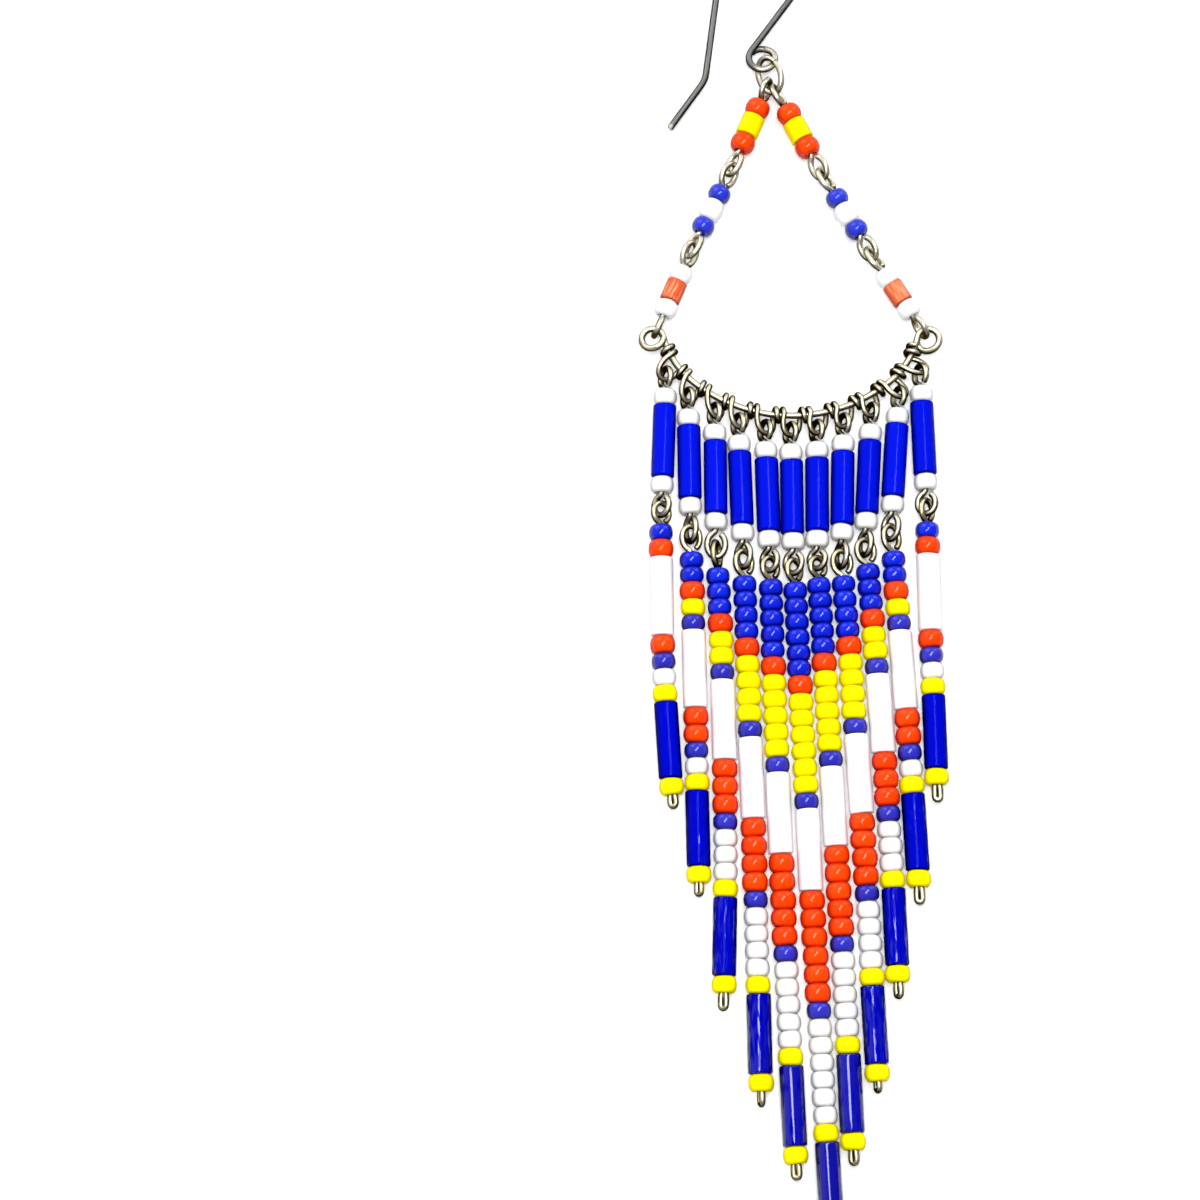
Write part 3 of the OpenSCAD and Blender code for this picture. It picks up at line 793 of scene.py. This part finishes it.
def foot_loop(p, heading, side, foot_len):
    """The wire leaves the last bead, turns back at the foot, and ends inside the bead's hole."""
    arc = foot_len - FOOT_HALF
    return (
        [p + down * heading + aside * side for down, aside in FOOT_DOWN]
        + [p + arc * heading + FOOT_HALF * (math.cos(a) * side - math.sin(a) * heading)
            for a in np.linspace(math.pi, 2 * math.pi, FOOT_POINTS)]
        + [p + down * heading + aside * side for down, aside in FOOT_UP])


for i in range(STRANDS):
    chart = bead_chart(i)
    first = reach(LIE[i][EYE])
    length = first + sum(kind[PITCH] * count for kind, count in chart) * LIE[i][GRADE]
    foot = LIE[i][FOOT]
    foot_len, foot_roll = FEET[i]
    strand_path = (
        eye(
            strand_mouth(i), along(LIE[i][TOP]), rolled(LIE[i][TOP], UPPER_ROLLS[i] - EYES_CROSS),
            strand_eye_len(i), EYE_HALF)
        + [strand_point(i, first + (length - first) * share, length) for share in (0.25, 0.5, 0.75)]
        + foot_loop(strand_point(i, length, length), along(foot), rolled(foot, foot_roll), foot_len))
    piece(
        f"strand_link_{i + 1}", f"strand_wire_{i + 1}",
        [wire(strand_path, STRAND_WIRE)], [strand_metal])
    beads, s = [], first
    for kind, count in chart:
        step = kind[PITCH] * count * LIE[i][GRADE]
        lean = strand_lean(i, s + step / 2, length)
        # the bugles come from a darker batch towards the middle
        tone = min(i, STRANDS - 1 - i) / (len(BLUES) - 1) if kind == BLUE_BUGLE else None
        beads += bead_row(
            kind, count, strand_point(i, s, length), lean, STRAND_GLASS, LIE[i][GRADE], tone=tone)
        s += step
    piece(
        f"strand_glass_{i + 1}", f"strand_beads_{i + 1}", beads, STRAND_GLASS.values())

# Side chains: three links on each side, from the jump ring down to the bar's end loops. Each is a
# length of wire with an eye at both ends and three beads, of which the middle one differs.
SIDE_BLUE = (1.98, 1.19, None, "blue")
SIDE_WHITE = (2.06, 1.61, None, "white")
YELLOW_TUBE = (1.98, 1.75, 0.09, "yellow_tube")
ORANGE_TUBE = (1.78, 1.75, 0.09, "orange_tube")
# The seed beads of the side chains are rounder than those of the strands
ROUND = (0.5, 2.05)
# The beads of each link, then the radii that its eyes take up, how far its foot eye is turned about the
# link, and how far apart its beads are threaded against the usual
TOP_R, FOOT_R, EYE_ROLL, SIZE = range(4)
CHAIN = (
    ((ORANGE, YELLOW_TUBE, ORANGE), (0.85, 0.95, 45, 1.06)),
    ((SIDE_BLUE, SIDE_WHITE, SIDE_BLUE), (0.80, 0.80, 45, 1.16)),
    ((WHITE, ORANGE_TUBE, WHITE), (0.78, 0.75, 80, 1.07)))
# How far the top eyes below the first link are turned, and how far the lowest eye and the bar's end
# loop reach into each other
CHAIN_ROLL = -45
BAR_EYE_HOLD = 0.575
# On the left and on the right: the first eye from the bar's middle, its roll, the leans of the first
# two links, and the bare wire beside their beads
FIRST_EYE = ((-1.77, 29.46, 0), (-0.77, 28.99, 0))
FIRST_ROLL = (-73, -62)
SIDE_LEAN = ((-22.5, -25.5), (27, 29))
SIDE_NECK = (0.13, 0.22)
SIDE_WIRE = 0.5
# Half the width of the eyes between two side links
SIDE_HALF = 0.7

SIDE_GLASS = {
    "orange": pressed_glass(
        "side_orange_glass", (0.95, 0.07, 0.0, 1), (0.86, 0.05, 0.0, 1), (0.5, 0.012, 0.0, 1),
        gloss=0.4, haze=0.01),
    "blue": pressed_glass(
        "side_blue_glass", (0.02, 0.04, 0.6, 1), (0.014, 0.028, 0.5, 1), (0.002, 0.003, 0.14, 1),
        gloss=0.6, haze=0.05),
    "white": pressed_glass(
        "side_white_glass", (0.96, 0.96, 0.96, 1), (0.93, 0.93, 0.94, 1), (0.66, 0.66, 0.68, 1)),
    "yellow_tube": pressed_glass(
        "yellow_tube_glass", (0.94, 0.87, 0.0, 1), (0.92, 0.83, 0.0, 1), (0.76, 0.56, 0.0, 1),
        gloss=0.06, haze=0.02),
    "orange_tube": pressed_glass(
        "orange_tube_glass", (0.86, 0.15, 0.05, 1), (0.7, 0.085, 0.02, 1), (0.4, 0.04, 0.01, 1),
        gloss=0.3, haze=0.03, veins=(0.88, 0.26, 0.12, 1))}
side_metal = drawn_metal(
    "side_metal", (0.98, 0.93, 0.72, 1), (0.08, 0.06, 0.025, 1), rough=0.32, sheen_level=0.62,
    edge=(0.55, 0.48, 0.32, 1))


def side_len(k, bare):
    """From the centre of the top eye of a side link to the centre of its foot eye."""
    row, sizes = CHAIN[k]
    beads_len = sum(kind[PITCH] for kind in row) * sizes[SIZE]
    return beads_len + reach(sizes[TOP_R], bare) + reach(sizes[FOOT_R], bare)


def lean_of(a, b):
    """The lean of a straight line from one place to another."""
    return math.degrees(math.atan2(b[0] - a[0], a[1] - b[1]))


def side_links(side):
    """The links of one side: the centre of the top eye, the lean, and the bare wire by the beads."""
    lean, bare = SIDE_LEAN[side], SIDE_NECK[side]
    first = BAR_MIDDLE + FIRST_EYE[side]
    second = (
        first + side_len(0, bare) * along(lean[0])
        + eyes_apart(CHAIN[0][1][FOOT_R], CHAIN[1][1][TOP_R]) * along(sum(lean) / 2))
    foot = second + side_len(1, bare) * along(lean[1])
    end = bar_loop((-1, 1)[side])
    turn = (lean[1] + lean_of(foot, end)) / 2
    third = foot + eyes_apart(CHAIN[1][1][FOOT_R], CHAIN[2][1][TOP_R]) * along(turn)
    last = np.linalg.norm(end - third) - eyes_apart(CHAIN[2][1][FOOT_R], BAR_LOOP_R, BAR_EYE_HOLD)
    return (
        (first, lean[0], bare),
        (second, lean[1], bare),
        (third, lean_of(third, end), (last - side_len(2, 0)) / 2))


def side_mouths(k, centre, lean, bare):
    """Where the wire of a side link goes into its beads, and where it comes out of them."""
    top = centre + reach(CHAIN[k][1][TOP_R], bare) * along(lean)
    return top, top + sum(kind[PITCH] for kind in CHAIN[k][0]) * CHAIN[k][1][SIZE] * along(lean)


for side, word in enumerate(("left", "right")):
    links = side_links(side)
    mouths = [side_mouths(k, *link) for k, link in enumerate(links)]
    for k, (centre, lean, bare) in enumerate(links):
        row, sizes = CHAIN[k]
        # next to another side link an eye is a long drop, and in the ring or the bar's loop it is round
        top_half, top_len = sizes[TOP_R], sizes[TOP_R] + reach(sizes[TOP_R], bare)
        foot_half, foot_len = sizes[FOOT_R], sizes[FOOT_R] + reach(sizes[FOOT_R], bare)
        if k > 0:
            top_half, top_len = SIDE_HALF, slack(np.linalg.norm(mouths[k][0] - mouths[k - 1][1]))
        if k < len(links) - 1:
            foot_half, foot_len = SIDE_HALF, slack(np.linalg.norm(mouths[k + 1][0] - mouths[k][1]))
        top_roll = CHAIN_ROLL if k else FIRST_ROLL[side]
        side_path = (
            eye(mouths[k][0], along(lean), rolled(lean, top_roll), top_len, top_half)
            + eye(mouths[k][1], -along(lean), rolled(lean, sizes[EYE_ROLL]), foot_len, foot_half)[::-1])
        piece(
            f"side_link_{word}_{k + 1}", f"side_wire_{word}_{k + 1}",
            [wire(side_path, SIDE_WIRE)], [side_metal])
        beads, start = [], mouths[k][0]
        for kind in row:
            # the orange tube on the left is the darker one
            tone = 1 - side if kind == ORANGE_TUBE else None
            beads += bead_row(kind, 1, start, lean, SIDE_GLASS, sizes[SIZE], ROUND, tone)
            start = start + kind[PITCH] * sizes[SIZE] * along(lean)
        piece(
            f"side_glass_{word}_{k + 1}", f"side_beads_{word}_{k + 1}",
            beads, SIDE_GLASS.values())

# Jump ring: a single oval ring of wire that ties both side chains to the ear hook. It is sprung open
# sideways and pressed shut again, so a fine seam is left where its ends meet.
RING_WIRE = 0.5
RING_AT = BAR_MIDDLE + [-1.46, 30.68, 0.245]
RING_LONG = 1.6
RING_SHORT = 1.1
RING_LEAN = 21
RING_TILT = 41.5
RING_POINTS = 40
SEAM_AT = math.radians(118)
SEAM_HALF = 0.03
SEAM_ENDS = (0.1, 0.1)

ring_metal = drawn_metal(
    "ring_metal", (0.98, 0.93, 0.72, 1), (0.06, 0.045, 0.02, 1), rough=0.3, sheen_level=0.64,
    edge=(0.5, 0.43, 0.3, 1))
ring_path = [
    RING_AT + RING_LONG * math.cos(a) * along(RING_LEAN)
    + RING_SHORT * math.sin(a) * rolled(RING_LEAN, RING_TILT)
    for a in np.linspace(SEAM_AT + SEAM_HALF, SEAM_AT + 2 * math.pi - SEAM_HALF, RING_POINTS)]
piece("ring", "jump_ring", [wire(ring_path, RING_WIRE, SEAM_ENDS)], [ring_metal])

# Ear hook: one length of springy steel wire. Its loop holds the jump ring, and it goes up a straight
# stem, over the crown that passes through the ear, and down a long tail with a flicked, rounded tip.
HOOK_WIRE = 0.57
HOOK_AT = BAR_MIDDLE + [-2.1, 32.29, 0.265]
HOOK_LOOP_R = 1.13
HOOK_LOOP_TURN = 350
CROWN_R = 4.1
STEM_ANGLE = 55.5
# The stem, the crown, the tail, the bend of the flick and the flick
HOOK_STEPS = ((9.15, 0), (CROWN_R, 207), (12.7, 0), (2.5, -26.2), (4.85, 0))
HOOK_TILT = -4.04
HOOK_ENDS = (0.5, 0.9)
# The stretch of the loop on which its free end drops below the stem, and the gap left there
LOOP_DROP = (0.55, 0.84)
LOOP_GAP = 0.03
# Where the painted highlight on the loop is centred and how far it reaches, and how far from the tip the
# bare metal reaches
LOOP_SHEEN_AT = [0.85, -0.35, 0]
LOOP_SHEEN_REACH = (1.2, 1.8)
TIP_REACH = (0.2, 0.4)


def bent_path(steps, heading, step):
    """Follows straight stretches (length, 0) and bends (radius, turn in degrees) from the origin.

    The heading is in degrees from the x axis, which across() gives the direction of as well.
    """
    here, points = np.zeros(3), [np.zeros(3)]
    for size, turn in steps:
        if turn:
            count = max(int(math.radians(abs(turn)) * size / step), 6)
            centre = here + size * math.copysign(1, turn) * across(heading + 90)
            for _ in range(count):
                heading += turn / count
                points.append(centre - size * math.copysign(1, turn) * across(heading + 90))
        else:
            count = max(int(size / step / 3), 1)
            points += [here + across(heading) * size * (n + 1) / count for n in range(count)]
        here = points[-1]
    return points


def hook_place(p):
    """A point in the hook's own plane, set where the hook lies."""
    p = p - [HOOK_LOOP_R, 0, 0]
    turn, tilt = math.radians(STEM_ANGLE - 90), math.radians(HOOK_TILT)
    x = p[0] * math.cos(turn) - p[1] * math.sin(turn)
    y = p[0] * math.sin(turn) + p[1] * math.cos(turn)
    return HOOK_AT + [x, y * math.cos(tilt), y * math.sin(tilt)]


# the free end of the loop passes under the foot of the stem
hook_loop = bent_path(((HOOK_LOOP_R, HOOK_LOOP_TURN),), heading=270, step=0.25)
hook_loop = [
    hook_place(p) - (HOOK_WIRE + LOOP_GAP) * past(n / len(hook_loop), *LOOP_DROP) * UP
    for n, p in enumerate(hook_loop)]
hook_stem = [hook_place(p) for p in bent_path(HOOK_STEPS, heading=90, step=0.4)]
hook_metal = drawn_metal(
    "hook_metal", (0.27, 0.26, 0.245, 1), (0.03, 0.028, 0.026, 1), rough=0.38, sheen_level=0.76,
    edge=(0.16, 0.16, 0.16, 1), sheen_and_bare_colour=(0.86, 0.81, 0.64, 1))
hook_part = wire(hook_loop[:0:-1] + hook_stem, HOOK_WIRE, HOOK_ENDS)
# a painted highlight on the far side of the loop, and bare metal at the nipped tip
from_loop_sheen = np.linalg.norm(hook_part["places"] - HOOK_AT - LOOP_SHEEN_AT, axis=1)
from_tip = np.linalg.norm(hook_part["places"] - hook_stem[-1], axis=1)
hook_part["bare"] = np.array([
    1 - min(past(loop_sheen_gap, *LOOP_SHEEN_REACH), past(tip, *TIP_REACH)) for loop_sheen_gap, tip in zip(from_loop_sheen, from_tip)])
piece("hook", "ear_hook", [hook_part], [hook_metal])

# Table: a plain sheet of matt white board that the earring lies on. It has only the fine tooth of the
# paper, and is lit so brightly that it goes white.
BOARD_HALF = 1.0
TOOTH_DEPTH = 0.00002

board = bpy.data.meshes.new("board")
corners = [(BOARD_HALF * x, BOARD_HALF * y, 0) for x, y in ((-1, -1), (1, -1), (1, 1), (-1, 1))]
board.from_pydata(corners, [], [(0, 1, 2, 3)])
table = bpy.data.objects.new("table", board)
bpy.context.scene.collection.objects.link(table)
board_white, shade = new_finish("board_white")
place = shade.node("ShaderNodeTexCoord", {}, {}, "Object")
tooth = shade.noise(place, 900.0, 2.0)
coated(shade, **{
    "Base Color": shade.mix(tooth, (0.9, 0.9, 0.9, 1), (0.93, 0.93, 0.93, 1)),
    "Roughness": 0.9,
    "Normal": shade.bump(tooth, TOOTH_DEPTH, 0.2)})
board.materials.append(board_white)

# Light: a pale room that is dimmer beyond the top of the view, with a soft window there on either side.
# A long narrow lamp by the camera, set aslant, leaves a small stroke of a glint on each bead.
TOWARDS_TOP = (-0.4, 0.8, 0.0)
DIMS_BETWEEN = (-0.35, 0.45)
DIM_WALL = (0.12, 0.12, 0.13, 1)
# How bright the other walls are, from level with the table (0) to straight overhead (1)
WALLS = (
    (0.0, (0.66, 0.67, 0.7, 1)),
    (0.5, (0.62, 0.63, 0.66, 1)),
    (0.8, (0.46, 0.47, 0.49, 1)),
    (1.0, (0.2, 0.2, 0.21, 1)))
ROOM_STRENGTH = 0.88

world = bpy.data.worlds.new("room")
bpy.context.scene.world = world
world.use_nodes = True
world.node_tree.nodes.clear()
sky = Shade(world.node_tree)
direction = sky.node("ShaderNodeTexCoord", {}, {}, "Generated")
height = sky.node("ShaderNodeSeparateXYZ", {}, {0: direction}, "Z")
ahead = sky.node(
    "ShaderNodeVectorMath", {"operation": "DOT_PRODUCT"}, {0: direction, 1: TOWARDS_TOP}, "Value")
walls = sky.node("ShaderNodeValToRGB", {"stops": WALLS}, {0: height})
glow = sky.mix(ahead.steep(*DIMS_BETWEEN), DIM_WALL, walls)
room = sky.node("ShaderNodeBackground", {}, {"Color": glow, "Strength": ROOM_STRENGTH})
sky.node("ShaderNodeOutputWorld", {}, {"Surface": room})


def lamp(name, place, aim, size, power, turn=0.0):
    """A flat soft lamp at a place, facing another, both in millimetres."""
    light = bpy.data.lights.new(name, "AREA")
    light.shape = "RECTANGLE"
    light.size, light.size_y = (length * MM for length in size)
    light.energy = power
    made = bpy.data.objects.new(name, light)
    bpy.context.scene.collection.objects.link(made)
    back = np.subtract(place, aim) / np.linalg.norm(np.subtract(place, aim))
    right = np.cross([math.sin(turn), math.cos(turn), 0], back)
    right /= np.linalg.norm(right)
    top = np.cross(back, right)
    turned = np.column_stack([right, top, back, np.array(place) * MM])
    made.matrix_world = Matrix([*turned.tolist(), [0, 0, 0, 1]])
    return made


lamp("window", place=(-420, 500, 470), aim=(0, 0, 0), size=(520, 420), power=1.3)
lamp("far_window", place=(420, 480, 400), aim=(0, 0, 0), size=(450, 300), power=0.8)
lamp("glint", place=(4, 20, 240), aim=(4, 20, 0), size=(60, 190), power=0.36, turn=math.radians(45))

# a small lamp at the camera reaches down between the strands, and leaves no glint of its own
fill = lamp("fill", place=(-16, -66, 246), aim=(-16, -5, 0), size=(60, 60), power=0.4)
fill.visible_glossy = False

# Camera: almost straight over the earring, tipped a little up along it as in the photograph. The crown
# of the hook and the foot of the middle strand run out of the picture.
CAMERA_AT = (-16.1, -64.95, 241.66)
CAMERA_TIP = math.radians(14)

camera_data = bpy.data.cameras.new("camera")
camera_data.lens = 90
camera_data.sensor_width = 36
camera = bpy.data.objects.new("camera", camera_data)
camera.location = [at * MM for at in CAMERA_AT]
camera.rotation_euler = (CAMERA_TIP, 0, 0)
bpy.context.scene.collection.objects.link(camera)
bpy.context.scene.camera = camera
bpy.context.scene.view_settings.view_transform = "Standard"
